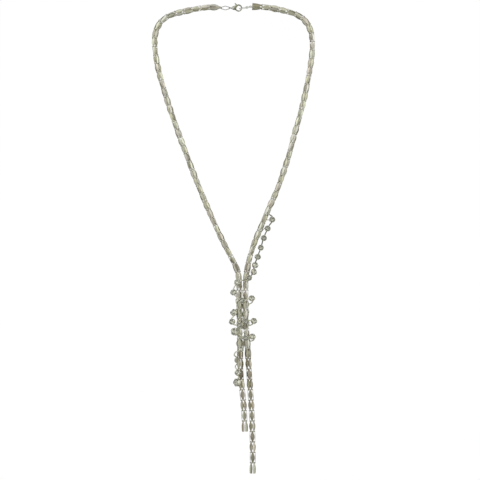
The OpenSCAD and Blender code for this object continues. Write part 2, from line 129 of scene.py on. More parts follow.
# The wire's route: x, y, z, the stone's scale, and the way it faces in degrees from the front.
# A scale of 0 is a bend without a stone.
STRING_ROWS = [
    (37.2, 0, -235.6, 0, 0), (39.8, 0, -241.2, 1, 10), (35, 0, -251.4, 1, -5),
    (30.4, 0, -262.3, 1, 8), (27.1, 0, -273.3, 1, 0), (23.4, 0, -283.7, 1, 12),
    (20, -0.6, -293.2, 1, 35), (18.4, -2.6, -300.8, 1, 40), (13.4, -5.2, -307.4, 1, 10),
    (0.8, -5, -313.2, 1, -50), (-3.4, -3.2, -323.9, 1, -35), (5.6, -5, -333.1, 1, 0),
    (16.4, -5, -330.8, 1, 30), (18.2, 0, -333.6, 0, 0), (16.2, 4.4, -336.6, 0, 0),
    (8, 5, -340, 1, 180), (-1.4, 4.4, -344.2, 0, 0), (-2.9, -2, -347.8, 1.1, -45),
    (-5.2, -3.2, -357.5, 1, -20), (3.2, -5, -361.4, 1, 5), (10.1, -5.2, -357, 1, -5),
    (18.6, -3.4, -356.6, 1, 25), (18.8, 1, -359.2, 0, 0), (16.4, 4.5, -361.4, 0, 0),
    (8.5, 5, -363.5, 1, 180), (-2, 3.8, -366, 0, 0), (-1.6, -5.6, -368.8, 1.3, -20),
    (9.6, -5.2, -375.7, 1, 0), (17, -5, -374.3, 1, 35), (19.8, 0, -376.8, 0, 0),
    (17.6, 4.6, -379.6, 0, 0), (9.4, 5, -382, 1, 180), (7.8, 0, -386, 0, 0),
    (3.8, -5.6, -389, 1, 0), (-1.6, -4.4, -392, 0, 0), (-3.2, 0.4, -396, 0, 0),
    (0.4, 5.2, -402, 1, 180), (-2, 1.5, -409, 0, 0), (1.2, -5.4, -415.8, 1, -10),
    (1.4, -5.6, -426.4, 1.3, -55),
]
# The first stones are beside the loop, and the rest are in the knot
SIDE_STONES = 7
# Short wires: from the string's end and the first two stones to the chain, and round the strands of
# the knot, with their ends tucked away behind or between the strands
TIES = [
    [(37.4, 0.1, -235.2), (36.2, -0.2, -234.9), (34.2, 0, -237.2)],
    [(37.2, 0.6, -241.8), (34, 0.2, -241.6), (30.6, 0, -243.4)],
    [(32.6, 0.6, -250.4), (30.2, 0.2, -252.4), (27.2, 0, -256.2)],
    [(0.2, 0, -309.5), (3.6, -2.6, -309), (7.6, -2.4, -311.2), (10.2, 0, -311.5)],
    [(5.6, 0.4, -316), (6.2, -1.6, -324), (7.2, -2.6, -331), (10.4, -3.5, -339), (13.4, -1.4, -345),
     (13.4, 1.4, -347.5), (11.4, 3.2, -349)],
    [(0.8, 3.4, -330.5), (-1.4, 1.2, -332.5), (-1.3, -1.8, -335.5), (0.8, -3.7, -341),
     (3.6, -3.5, -348), (6.2, -2, -355), (6.4, 0.6, -359.5)],
    [(11.4, 3.3, -334), (13.4, 1.4, -336.5), (13.4, -1.4, -339.5), (11, -3.6, -344.5),
     (8, -3.3, -351), (6.6, -2, -358.5), (6.2, 0.6, -364)],
    [(12, 3.3, -355.5), (14.1, 1.2, -358), (13.9, -1.5, -361), (11, -3.6, -366), (5, -3.5, -372),
     (1.2, -3.3, -378), (-0.8, -1.2, -382), (0, 1.8, -385)],
]
TIE_R = 0.34
WIRE_SIDES = 8
# The string is two wires twisted together
STRING_R = 0.4
STRING_TWIST = 3.2
STRING_STEP = 0.35
# The wires are brighter in the knot than beside the chain: the short ones that start below KNOT_TOP, and
# the string from the knot's first stone on, over the length KNOT_FADE
KNOT_TOP = -305
SIDE_WIRE_TINT, KNOT_WIRE_TINT, KNOT_FADE = 0.5, 1.35, 10
# A cup and its stone at scale 1. Heights are from the wire, towards the way that the stone faces.
CUP_HALF = 3.2
CUP_R = 3.4
CUP_WALL = 0.26
CUP_BASE = -0.95
CUP_BASE_INSET = 0.5
CUP_FLOOR_H = 0.62
CUP_FLOOR_R = 0.3
CUP_POINT_R = 0.02
CUP_LOW_RIM = 1.95
CLAW_H = 3.5
CLAW_TIP_R = 2.75
# How steeply the four claws rise, how low the rim stays between them, and how they curl in
CLAW_RISE, CLAW_GAP, CLAW_CURL = 1.5, 0.35, 1.3
GIRDLE_H = 2.8
GIRDLE_R = 2.95
TABLE_H = 3.65
TABLE_R = 1.7
CULET_H = 1.0

# Links from the clasp's eye to the left chain, then from its claw to the right chain. Each starts
# LINK_HOLD before the end of the one that it hangs in, and some lean forward from lying flat.
LINK_WIRE = 0.35
LINK_STEPS, LINK_SIDES, CAP_SIDES = 24, 14, 32
LINK_HOLD = 0.82
CLASP_RING_X, CLASP_RING_R, CLASP_RING_LEAN = -7.2, 2.1, math.radians(20)
OVAL_X, OVAL_HALF, OVAL_END_R, OVAL_BULGE = -13.28, 4.8, 1.25, 0.85
LEFT_EYE_X, EYE_RING_R = -18.26, 1.0
CATCH_FROM, CATCH_LEAN = (2.8, -0.85), math.radians(22)
# The links between the claw and the right chain: name, node, half length, end radius, swell and rise
CATCH_LINKS = [
    ("claw_link", "catch_ring", 4.1, 2.5, 0.1, math.radians(10)),
    ("second_ring", "middle_ring", 1.25, 1.25, 0, math.radians(12)),
    ("third_link", "end_link", 1.6, 1.3, 0, math.radians(12)),
]
# The clasp's claw: its centre, its outer and inner radius, and how much wider its opening is made
CLASP_CLAW_X, CLASP_CLAW_R, CLASP_CLAW_INNER_R, CLASP_SLIM = 1.8, 4.0, 2.6, 0.4
# It is slimmer between these directions from its centre, in degrees, and less so near both
SLIM_FROM, SLIM_TO, SLIM_FADE = -165, 45, 30
# Lighter and darker places of the clasp: x, z, reach, and the tint there. Elsewhere it has CLASP_TINT.
CLASP_TINT, CLASP_TONE = 0.3, 0.4
CLASP_PATCHES = [
    (-5.4, 0.2, 1.3, 1.3), (-2.4, 2.2, 2.1, 1.0), (-2.2, 5.0, 1.4, 0.8), (-4.0, -1.5, 1.0, -0.1),
    (-1.0, -2.8, 1.0, 0.0), (3.9, -3.2, 1.6, 1.0),
]


# Shared tools

def unit(v):
    return v / np.linalg.norm(v)


def square_to(v, d):
    """The part of v that is square to d, at length 1."""
    return unit(v - np.dot(v, d) * d)


def in_space(p):
    return np.array([p[0], 0.0, p[1]])


def blend(a, b, t):
    return a + (b - a) * min(1.0, max(0.0, t))


# Edges over these angles, in degrees, stay sharp
SHARP_OVER, LINK_SHARP_OVER, STAGE_SHARP_OVER = 40, 50, 60


class Piece:
    """Collects the points and faces of one mesh, with a tint and a tone for each point."""

    def __init__(self):
        self.points, self.faces, self.finishes, self.tints, self.tones = [], [], [], [], []
        self.count = 0

    def grid(self, rows, wrap_rows=False, caps=False, tint=0.5, tone=0.5):
        """Joins rows, an array of rings of points, ring to ring, with faces of the first material.

        tint may be one number a point.
        """
        rows = np.asarray(rows, float)
        n, m = rows.shape[:2]
        base = self.count
        for i in range(n if wrap_rows else n - 1):
            for k in range(m):
                a, b = base + i * m, base + (i + 1) % n * m
                j = (k + 1) % m
                self.faces.append((a + k, b + k, b + j, a + j))
        if caps:
            self.faces.append(tuple(base + k for k in range(m)))
            self.faces.append(tuple(base + (n - 1) * m + k for k in reversed(range(m))))
        self.finishes += [0] * (len(self.faces) - len(self.finishes))
        self._keep(rows.reshape(-1, 3), tint, tone)

    def solid(self, points, faces, finishes):
        """Adds points and faces as they are given, with the number of its material for each face."""
        self.faces += [tuple(self.count + i for i in f) for f in faces]
        self.finishes += finishes
        self._keep(np.asarray(points, float), 0.5, 0.5)

    def _keep(self, points, tint, tone):
        self.points.append(points)
        self.tints.append(np.broadcast_to(tint, len(points)))
        self.tones.append(np.broadcast_to(tone, len(points)))
        self.count += len(points)

    def build(self, name, materials, smooth_angle=None):
        """Makes the object. Edges sharper than smooth_angle, in degrees, stay sharp."""
        mesh = bpy.data.meshes.new(name)
        mesh.from_pydata((np.concatenate(self.points) * MM).tolist(), [], self.faces)
        for material in materials:
            mesh.materials.append(material)
        mesh.polygons.foreach_set("material_index", self.finishes)
        for kind, values in (("tint", self.tints), ("tone", self.tones)):
            made = mesh.attributes.new(kind, "FLOAT", "POINT")
            made.data.foreach_set("value", np.concatenate(values).astype(np.float32))
        mesh.update()
        made = bmesh.new()
        made.from_mesh(mesh)
        bmesh.ops.recalc_face_normals(made, faces=made.faces)
        made.to_mesh(mesh)
        made.free()
        if smooth_angle is not None:
            mesh.polygons.foreach_set("use_smooth", [True] * len(mesh.polygons))
            mesh.set_sharp_from_angle(angle=math.radians(smooth_angle))
        obj = bpy.data.objects.new(name, mesh)
        bpy.context.scene.collection.objects.link(obj)
        return obj


class Route:
    """A smooth curve through given points, read by distance along it."""

    SUBSTEPS = 12
    HEADING_REACH = 0.5

    def __init__(self, points):
        p = np.asarray(points, float)
        p = np.vstack([2 * p[0] - p[1], p, 2 * p[-1] - p[-2]])
        fine = []
        for i in range(1, len(p) - 2):
            for k in range(self.SUBSTEPS):
                t = k / self.SUBSTEPS
                a, b, c, d = p[i - 1], p[i], p[i + 1], p[i + 2]
                fine.append(0.5 * (2 * b + (c - a) * t + (2 * a - 5 * b + 4 * c - d) * t * t
                                   + (3 * b - a - 3 * c + d) * t ** 3))
        fine.append(p[-2])
        self.fine = np.array(fine)
        steps = np.linalg.norm(np.diff(self.fine, axis=0), axis=1)
        self.sums = np.concatenate([[0], np.cumsum(steps)])
        self.length = self.sums[-1]

    def at(self, s):
        return np.array([np.interp(s, self.sums, self.fine[:, k]) for k in range(3)])

    def heading(self, s):
        after, before = min(s + self.HEADING_REACH, self.length), max(s - self.HEADING_REACH, 0)
        return unit(self.at(after) - self.at(before))

    def nearest(self, p):
        """Distance along the route of the point on it nearest to p."""
        return self.sums[np.argmin(np.linalg.norm(self.fine - p, axis=1))]


def tube(piece, points, radius, sides, first=UP, tint=0.5, closed=False):
    """A round tube along points, its sides turned as little as possible from point to point."""
    p = np.asarray(points, float)
    radii = np.broadcast_to(radius, len(p))
    turns = [2 * math.pi * k / sides for k in range(sides)]
    side, rows = np.asarray(first, float), []
    for i in range(len(p)):
        before = p[i - 1] if closed else p[max(i - 1, 0)]
        after = p[(i + 1) % len(p)] if closed else p[min(i + 1, len(p) - 1)]
        d = unit(after - before)
        side = square_to(side, d)
        other = np.cross(d, side)
        rows.append([p[i] + radii[i] * (math.cos(a) * side + math.sin(a) * other) for a in turns])
    piece.grid(rows, wrap_rows=closed, caps=not closed, tint=tint)


def ring(piece, centre, axis, radius, tint):
    """A wire ring of the chain, square to axis."""
    a = square_to(FRONT, axis)
    b = np.cross(axis, a)
    turns = [2 * math.pi * k / RING_SEGMENTS for k in range(RING_SEGMENTS)]
    path = [centre + radius * (math.cos(t) * a + math.sin(t) * b) for t in turns]
    tube(piece, path, RING_WIRE_R, RING_SIDES, first=axis, tint=tint, closed=True)


def round_way(d, a):
    """The direction at angle a round a flattened strand along d, from the front towards +X."""
    f = square_to(FRONT, d)
    a -= math.radians(FLATTEN) * math.sin(2 * a)
    return math.cos(a) * f + math.sin(a) * np.cross(f, d)


# The section of a bar from its middle outwards: share of the half width, then share of half the thickness
BAR_SECTION = [
    (0, 1), (0.12, 1), (0.5, 1), (0.9, 1), (0.98, 0.6), (1, 0), (0.98, -0.6), (0.9, -1),
    (0.12, -1), (0, -1), (-0.12, -1), (-0.9, -1), (-0.98, -0.6), (-1, 0), (-0.98, 0.6),
    (-0.9, 1), (-0.5, 1), (-0.12, 1),
]
BAR_STATIONS = 15
# A blunt bar reaches its full width about half way down, and its lower corners are worn off
BLUNT_SPREAD = 1.9
BLUNT_FULLNESS = 1.2
BLUNT_CORNER = 0.93
BLUNT_WEAR = 0.3
EYE_SEGMENTS = 12
EYE_SECTION = [(-1, -0.6), (-0.8, -1), (0.8, -1), (1, -0.6), (1, 0.6), (0.8, 1), (-0.8, 1), (-1, 0.6)]


def bar(piece, top, along, out, length, half_width, tip_half, fullness, tint, facet, tone, blunt, bow):
    """A ridged navette bar from its top eye, with an eye at each end, or a squared end if blunt.

    facet is how much one of its two facets is painted lighter than the ridge, and the other painted darker.
    """
    wide = np.cross(along, out)
    rows, tints = [], []
    start = EYE_R - EYE_T / 2
    end = length if blunt else length - start
    for i in range(BAR_STATIONS):
        # Stations lie closer together near both ends
        u = 0.5 - 0.5 * math.cos(math.pi * i / (BAR_STATIONS - 1))
        reach = start + (end - start) * u
        # A blunt bar widens from its eye to half way down and then narrows a little
        if blunt:
            fill = math.sin(math.pi / 2 * min(1, BLUNT_SPREAD * u)) ** BLUNT_FULLNESS
        else:
            fill = max(0, math.sin(math.pi * u)) ** fullness
        width = blend(tip_half, half_width, fill)
        if blunt:
            corner = max(0, (u - BLUNT_CORNER) / (1 - BLUNT_CORNER))
            width *= 1 - LAST_TAPER * u - BLUNT_WEAR * corner ** 2
        ridge = BAR_RIDGE * width / half_width
        middle = top - reach * along + (bow * math.sin(math.pi * u) + ridge / 2) * out
        rows.append([
            middle + v * width * wide + (h * BAR_T / 2 - ridge * abs(v)) * out for v, h in BAR_SECTION
        ])
        # Painted shade on the bar's narrow ends and long edges, and painted light and shade on its two
        # facets
        tints += [
            tint - END_SHADE * (1 - fill) + facet * np.sign(v) - EDGE_SHADE * abs(v) ** 3
            for v, _ in BAR_SECTION
        ]
    piece.grid(rows, caps=True, tint=tints, tone=tone)
    for eye in [top] if blunt else [top, top - length * along]:
        loops = []
        for k in range(EYE_SEGMENTS):
            a = 2 * math.pi * k / EYE_SEGMENTS
            way = math.cos(a) * out + math.sin(a) * along
            loops.append([
                eye + (EYE_R + h * EYE_T / 2) * way + v * tip_half * wide for v, h in EYE_SECTION
            ])
        # The eyes get half of the ends' painted shade
        piece.grid(loops, wrap_rows=True, tint=tint - END_SHADE / 2, tone=tone)


def link_path(half, end_r, bulge):
    """A long link's centre line as x and z pairs: two half rings, and sides that may swell."""
    straight = half - end_r
    path = []
    for side in (1, -1):
        for k in range(LINK_STEPS):
            a = math.pi * (k / LINK_STEPS - 0.5)
            path.append((side * (straight + end_r * math.cos(a)), side * end_r * math.sin(a)))
        for k in range(LINK_STEPS if straight > 0 else 0):
            x = straight * (1 - 2 * k / LINK_STEPS)
            path.append((side * x, side * (end_r + bulge * math.cos(math.pi * x / 2 / straight) ** 2)))
    return path


def rising(rise):
    return np.array([math.cos(rise), 0, math.sin(rise)])


def leaning(lean):
    """The way across a link that lies flat at a lean of 0 and faces the front at 90 degrees."""
    return np.array([0, -math.cos(lean), -math.sin(lean)])


def link(piece, centre, along, across, half, end_r, bulge=0.0):
    """A closed wire link in the plane of along and across."""
    across = square_to(across, along)
    path = [centre + x * along + z * across for x, z in link_path(half, end_r, bulge)]
    tube(piece, path, LINK_WIRE, LINK_SIDES, first=np.cross(along, across), closed=True)


def fringe_places(route_points, rows):
    """Ring places of the hanging strand, on the straight stretches of the source's route."""
    p = np.array([in_space(q) for q in route_points[CHAIN_ROUTE_POINTS - 1:]])
    sums = np.concatenate([[0], np.cumsum(np.linalg.norm(np.diff(p, axis=0), axis=1))])
    reach = [FRINGE_GAP + i * FRINGE_PITCH for i in range(rows + 1)]
    return [np.array([np.interp(s, sums, p[:, k]) for k in range(3)]) for s in reach]


Style = namedtuple("Style", "radius width tip fullness pitch twist stray")


def chain_style(z):
    """The columns of CHAIN_STYLE after the first, at height z."""
    heights, *columns = zip(*CHAIN_STYLE)
    return Style(*(float(np.interp(z, heights, column)) for column in columns))


def loop_places(route, last):
    """Ring places of the loop, from its clasp end to just before the place last."""
    total = route.nearest(last)
    shares, s = [0.0], 0.0
    while s < total:
        s += chain_style(route.at(s)[2]).pitch
        shares.append(s)
    fit = total / shares[-1]
    return [route.at(s * fit) for s in shares[:-1]]


def strand(route_points, fringe_rows, seed, gathered):
    """Makes the loop's side and the hanging strand below it as two pieces of one chain."""
    draw = random.Random(seed)
    route = Route([in_space(q) for q in route_points])
    hanging = fringe_places(route_points, fringe_rows)
    loop = loop_places(route, hanging[0])
    places = loop + hanging
    headings = [route.heading(route.nearest(p)) for p in places]
    upper, lower = Piece(), Piece()
    last = len(places) - 1

    def twist(i):
        turns = (last - i) / TWIST_ROWS + TWIST_START
        return chain_style(places[i][2]).twist * math.sin(2 * math.pi * turns)

    for i, (p, d) in enumerate(zip(places, headings)):
        piece = upper if i < len(loop) else lower
        style = chain_style(p[2])
        radius = style.radius
        if i == 0 and gathered:
            p, radius = np.array([GATHER_X, p[1], p[2]]), GATHER_R
        ring(piece, p, d, radius, draw.uniform(*RING_TINTS))
        for k in range(BARS_A_ROW):
            # Every other row is turned by half a bar's share of the round
            share = k + (0.5 if (last - i) % 2 == 0 else 0)
            place = 360 / BARS_A_ROW * share + draw.uniform(-style.stray, style.stray)
            way = round_way(d, math.radians(place + twist(i)))
            top = p + radius * way
            if i == last:
                along = math.cos(LAST_SPLAY) * -d - math.sin(LAST_SPLAY) * way
                length, blunt = LAST_BAR_L, True
            else:
                q, e = places[i + 1], headings[i + 1]
                low = q + chain_style(q[2]).radius * round_way(e, math.radians(place + twist(i + 1)))
                length, blunt = np.linalg.norm(top - low), False
                along = (top - low) / length
            bow = GATHER_BOW if i == 0 and gathered else BAR_BOW
            if i == 0 and not gathered:
                along = math.cos(OPEN_SPLAY) * -along - math.sin(OPEN_SPLAY) * way
                top, length, blunt = low, OPEN_L, True
            out = square_to(way, along)
            shade = draw.random()
            tint = blend(shade, USUAL_TINT, EVENNESS)
            tint -= blend(0, TOP_SHADE, (p[2] - TOP_SHADE_Z) / TOP_FADE)
            if i == 0:
                tint = blend(*FIRST_TINTS, shade)
            elif i >= len(loop):
                tint -= HANGING_SHADE
                # Painted shade on a lone bar that faces the front, for the dim room in front that it
                # mirrors
                tint -= FACING_SHADE if (last - i) % 2 == 1 and k == 0 else 0
            facet = draw.uniform(-FACET_SHADE, FACET_SHADE)
            bar(piece, top, along, out, length, style.width / 2, style.tip / 2, style.fullness, tint, facet,
                draw.random(), blunt, bow)
    return upper, lower


def string_place(i):
    return np.array(STRING_ROWS[i][:3], float)


def string_way(i):
    return unit(string_place(min(i + 1, len(STRING_ROWS) - 1)) - string_place(max(i - 1, 0)))


def stone_axes(i):
    """Place, scale and axes of the stone in row i: along the wire, across it, and the way it faces."""
    along = string_way(i)
    *_, scale, turn = STRING_ROWS[i]
    a = math.radians(turn)
    facing = square_to(np.array([math.sin(a), -math.cos(a), 0]), along)
    return string_place(i), scale, along, np.cross(facing, along), facing


def placed(points, axes):
    """Brings points of a stone's own space to its place on the wire."""
    place, scale, x, y, z = axes
    p = np.asarray(points, float)
    return place + scale * (p[..., :1] * x + p[..., 1:2] * y + p[..., 2:] * z)


STONE_ROWS = [i for i, (*_, scale, _) in enumerate(STRING_ROWS) if scale > 0]
CUP_SEGMENTS = 64
# Shares of the wall's height. The inner wall has those from the fourth on.
WALL_SHARES = [0, 0.08, 0.2, 0.4, 0.6, 0.75, 0.85, 0.93, 1]
# Corners of a collar's section: distance from the cup's middle, then radius
COLLAR_SECTION = [(2.7, 0.95), (3.1, 0.95), (3.2, 0.88), (3.2, 0.68), (2.7, 0.68)]


def cup(piece, axes, tint):
    """A drawn cup with four claws bent over the stone, and a collar on each side for the wire."""
    def rim(a):
        return blend(CUP_LOW_RIM, CLAW_H, max(0, CLAW_RISE * abs(math.cos(2 * a)) - CLAW_GAP) ** 2)

    def wall(a, share, inner):
        z = CUP_BASE + (rim(a) - CUP_BASE) * share
        if z < 0:
            r = CUP_R - CUP_BASE_INSET * (z / CUP_BASE) ** 2
        elif z < GIRDLE_H:
            r = CUP_R
        else:
            r = CUP_R - (CUP_R - CLAW_TIP_R) * ((z - GIRDLE_H) / (CLAW_H - GIRDLE_H)) ** CLAW_CURL
        r -= CUP_WALL if inner else 0
        return r * math.cos(a), r * math.sin(a), z

    turns = [2 * math.pi * k / CUP_SEGMENTS for k in range(CUP_SEGMENTS)]
    rows = [[(CUP_POINT_R * math.cos(a), CUP_POINT_R * math.sin(a), CUP_BASE) for a in turns]]
    rows += [[wall(a, share, False) for a in turns] for share in WALL_SHARES]
    rows += [[wall(a, share, True) for a in turns] for share in reversed(WALL_SHARES[3:])]
    rows += [[(CUP_FLOOR_R * math.cos(a), CUP_FLOOR_R * math.sin(a), CUP_FLOOR_H) for a in turns]]
    piece.grid(placed(rows, axes), caps=True, tint=tint)
    for side in (-1, 1):
        collar = [
            [(side * x, r * math.cos(a), r * math.sin(a)) for a in turns[::4]]
            for x, r in COLLAR_SECTION
        ]
        piece.grid(placed(collar, axes), wrap_rows=True, tint=tint)


def brilliant():
    """Points, faces and materials of a round brilliant: table, crown, girdle and pavilion."""
    def circle(n, r, z, turn=0.0):
        return [
            (r * math.cos(2 * math.pi * (k + turn) / n), r * math.sin(2 * math.pi * (k + turn) / n), z)
            for k in range(n)
        ]

    # The crown and the pavilion each have corners part of the way up
    crown_h = blend(GIRDLE_H, TABLE_H, 0.52)
    crown_r = blend(GIRDLE_R, TABLE_R, 0.42)
    band = 0.05
    pavilion_h = blend(CULET_H, GIRDLE_H, 0.28)
    pavilion_r = blend(0, GIRDLE_R, 0.3)
    table, crown = circle(8, TABLE_R, TABLE_H), circle(8, crown_r, crown_h, 0.5)
    top, low = circle(16, GIRDLE_R, GIRDLE_H + band), circle(16, GIRDLE_R, GIRDLE_H - band)
    waist = circle(8, pavilion_r, pavilion_h, 0.5)
    points = table + crown + top + low + waist + [(0, 0, CULET_H)]
    # Where the points of the table, crown, girdle and pavilion start, and the culet
    t, c, g, p, culet = 0, 8, 16, 48, 56
    faces, finishes = [tuple(range(8))], [0]
    for k in range(8):
        # The corners after k and before it, and the girdle's points below k, half way on and below n
        n, b = (k + 1) % 8, (k - 1) % 8
        a, m, e = g + 2 * k, g + 2 * k + 1, g + (2 * k + 2) % 16
        faces += [(t + k, t + n, c + k), (t + k, c + k, a), (t + k, a, c + b), (c + k, m, a), (c + k, e, m)]
        faces += [(a, m, m + 16, a + 16), (m, e, e + 16, m + 16)]
        faces += [(a + 16, m + 16, p + k), (m + 16, e + 16, p + k), (a + 16, p + k, p + b)]
        faces += [(p + k, culet, p + b)]
        # The pavilion's faces are backed with foil
        finishes += [0] * 7 + [1] * 4
    return points, faces, finishes


# Materials

def colour(rgb):
    return (*rgb, 1.0)


class Nodes:
    """Adds nodes to a tree, and links or sets their inputs."""

    def __init__(self, tree):
        self.tree = tree

    def node(self, kind, **inputs):
        node = self.tree.nodes.new(kind)
        for socket, value in inputs.items():
            self.feed(node.inputs[socket.replace("_", " ")], value)
        return node

    def feed(self, socket, value):
        if isinstance(value, bpy.types.NodeSocket):
            self.tree.links.new(value, socket)
        else:
            socket.default_value = value

    def ramp(self, value, stops):
        made = self.node("ShaderNodeValToRGB", Fac=value)
        while len(made.color_ramp.elements) < len(stops):
            made.color_ramp.elements.new(0.5)
        for element, (place, rgb) in zip(made.color_ramp.elements, stops):
            element.position, element.color = place, colour(rgb)
        return made.outputs["Color"]

    def span(self, value, low, high, from_low=0.3, from_high=0.7):
        made = self.node("ShaderNodeMapRange", Value=value, From_Min=from_low, From_Max=from_high,
                         To_Min=low, To_Max=high)
        return made.outputs["Result"]

    def times(self, a, b):
        """One colour multiplied by another."""
        made = self.node("ShaderNodeMix")
        made.data_type, made.blend_type = "RGBA", "MULTIPLY"
        made.inputs["Factor"].default_value = 1.0
        for socket, value in zip([i for i in made.inputs if i.type == "RGBA"], (a, b)):
            self.feed(socket, value)
        return [o for o in made.outputs if o.type == "RGBA"][0]

    def math(self, operation, a, b):
        made = self.node("ShaderNodeMath")
        made.operation = operation
        self.feed(made.inputs[0], a)
        self.feed(made.inputs[1], b)
        return made.outputs["Value"]


class Finish(Nodes):
    """A material's nodes, wired to one principled shader."""

    def __init__(self, name, **values):
        self.material = bpy.data.materials.new(name)
        self.material.use_nodes = True
        super().__init__(self.material.node_tree)
        self.shader = self.tree.nodes["Principled BSDF"]
        for socket, value in values.items():
            self.shader.inputs[socket.replace("_", " ")].default_value = value
        self.place = self.node("ShaderNodeTexCoord").outputs["Object"]

    def noise(self, scale, detail=3.0, roughness=0.5):
        made = self.node("ShaderNodeTexNoise", Vector=self.place, Scale=scale, Detail=detail,
                         Roughness=roughness)
        return made.outputs["Fac"]

    def bump(self, height, strength, distance):
        made = self.node("ShaderNodeBump", Height=height, Strength=strength, Distance=distance)
        self.feed(self.shader.inputs["Normal"], made.outputs["Normal"])

    def attribute(self, name):
        made = self.node("ShaderNodeAttribute")
        made.attribute_name = name
        return made.outputs["Fac"]


# Silver plate varies from olive through grey to a faint pink
TONES = [
    (0.1, (1.0, 1.0, 0.86)), (0.4, (0.97, 1.0, 0.93)), (0.65, (1.0, 1.0, 1.0)), (0.95, (1.0, 0.95, 0.91)),
]


# How much of a metal's shade its own tint gives, and how much the cloudy wear gives
TINT_SHARE, CLOUD_SHARE = 0.6, 0.4
CLOUD_SCALE, GRAIN_SCALE, SCRATCH_SCALE = 180.0, 900.0, 1530.0
SCRATCH_DEPTH = 0.04 * MM


def metal(name, stops, rough_low, rough_high, bump=0.15, metallic=1.0):
    """Silver-tone metal: a tint and tone for each bar or cup, cloudy wear, and fine scratches. The chain's
    tints also carry painted light and shade.
    """
    made = Finish(name, Metallic=metallic)
    cloud = made.noise(CLOUD_SCALE, detail=4.0, roughness=0.6)
    shade = made.math("ADD", made.math("MULTIPLY", made.attribute("tint"), TINT_SHARE),
                      made.math("MULTIPLY", cloud, CLOUD_SHARE))
    made.feed(made.shader.inputs["Base Color"],
              made.times(made.ramp(shade, stops), made.ramp(made.attribute("tone"), TONES)))
    made.feed(made.shader.inputs["Roughness"], made.span(made.noise(GRAIN_SCALE), rough_low, rough_high))
    made.bump(made.noise(SCRATCH_SCALE, detail=5.0, roughness=0.65), bump, SCRATCH_DEPTH)
    return made.material


def crystal():
    """Clear cut glass with faint inclusions."""
    made = Finish("crystal", Transmission_Weight=1.0, IOR=1.56)
    made.feed(made.shader.inputs["Base Color"],
              made.ramp(made.noise(400.0), [(0.3, (0.93, 0.93, 0.9)), (0.7, (0.99, 0.99, 0.98))]))
    made.feed(made.shader.inputs["Roughness"], made.span(made.noise(700.0), 0.0, 0.03))
    return made.material


CHAIN_METAL = metal("chain_metal", [
    (0.0, (0.36, 0.33, 0.25)), (0.25, (0.64, 0.62, 0.53)), (0.5, (0.79, 0.78, 0.70)),
    (0.85, (0.87, 0.865, 0.80)),
], rough_low=0.34, rough_high=0.5)
DARK_METAL = metal("dark_metal", [
    (0.2, (0.18, 0.17, 0.12)), (0.5, (0.26, 0.25, 0.19)), (0.7, (0.36, 0.35, 0.29)),
    (1.0, (0.86, 0.84, 0.75)),
], rough_low=0.24, rough_high=0.4)
CUP_METAL = metal("cup_metal", [
    (0.2, (0.74, 0.72, 0.63)), (0.5, (0.86, 0.845, 0.76)), (0.8, (0.94, 0.93, 0.86)),
], rough_low=0.2, rough_high=0.34)
CLASP_METAL = metal("clasp_metal", [
    (0.15, (0.16, 0.15, 0.10)), (0.4, (0.36, 0.35, 0.27)), (0.7, (0.78, 0.76, 0.62)),
    (1.0, (0.95, 0.94, 0.86)),
], rough_low=0.16, rough_high=0.3)
LINK_METAL = metal("link_metal", [
    (0.2, (0.28, 0.275, 0.24)), (0.5, (0.38, 0.375, 0.34)), (0.8, (0.48, 0.475, 0.44)),
], rough_low=0.2, rough_high=0.34)
BRIGHT_METAL = metal("bright_metal", [
    (0.2, (0.70, 0.70, 0.67)), (0.5, (0.82, 0.82, 0.79)), (0.8, (0.92, 0.92, 0.90)),
], rough_low=0.2, rough_high=0.34)
CRYSTAL = crystal()
FOIL = metal("foil", [
    (0.2, (0.84, 0.83, 0.77)), (0.5, (0.92, 0.91, 0.86)), (0.8, (0.98, 0.98, 0.94)),
], rough_low=0.14, rough_high=0.26, bump=0.05, metallic=0.8)


# The pieces

def dress(obj, slot, *nodes, body="necklace"):
    """Puts the piece in place of CAD nodes, on their body. slot is not used."""
    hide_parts(*nodes)
    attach(obj, body)


def make_strands():
    # Side, route, rows of the hanging strand, and seed
    sides = (("left", LEFT_ROUTE, LEFT_ROWS, 3), ("right", RIGHT_ROUTE, RIGHT_ROWS, 8))
    for side, route, rows, seed in sides:
        upper, lower = strand(route, rows, seed, gathered=side == "left")
        dress(upper.build(side + "_loop", [CHAIN_METAL], SHARP_OVER), "chain_metal", side + "_chain")
        dress(lower.build(side + "_strand", [CHAIN_METAL], SHARP_OVER), "chain_metal", side + "_fringe")


def make_string():
    points = []
    for i, (*_, scale, _) in enumerate(STRING_ROWS):
        # The wire is straight where it goes through a cup
        half = CUP_HALF * scale
        shifts = (-1, 0, 1) if half > 0 else (0,)
        points += [string_place(i) + half * shift * string_way(i) for shift in shifts]
    wire = Piece()
    route = Route(points)
    steps = int(route.length / STRING_STEP)
    knot_from = route.nearest(string_place(STONE_ROWS[SIDE_STONES]))
    tints = [
        blend(SIDE_WIRE_TINT, KNOT_WIRE_TINT, (route.length * k / steps - knot_from) / KNOT_FADE)
        for k in range(steps + 1)
    ]
    across = UP
    strands = [[], []]
    for k in range(steps + 1):
        s = route.length * k / steps
        d = route.heading(s)
        across = square_to(across, d)
        a = 2 * math.pi * s / STRING_TWIST
        aside = STRING_R * (math.cos(a) * across + math.sin(a) * np.cross(d, across))
        strands[0].append(route.at(s) + aside)
        strands[1].append(route.at(s) - aside)
    for path in strands:
        tube(wire, path, STRING_R, WIRE_SIDES, tint=np.repeat(tints, WIRE_SIDES))
    for tie in TIES:
        route = Route(tie)
        # A little more than one point for each millimetre
        path = [route.at(s) for s in np.linspace(0, route.length, int(route.length) + 6)]
        start_z = tie[0][2]
        tube(wire, path, TIE_R, WIRE_SIDES, tint=SIDE_WIRE_TINT if start_z > KNOT_TOP else KNOT_WIRE_TINT)
    dress(wire.build("string_wire", [DARK_METAL], SHARP_OVER), "string_wire", "stone_string")


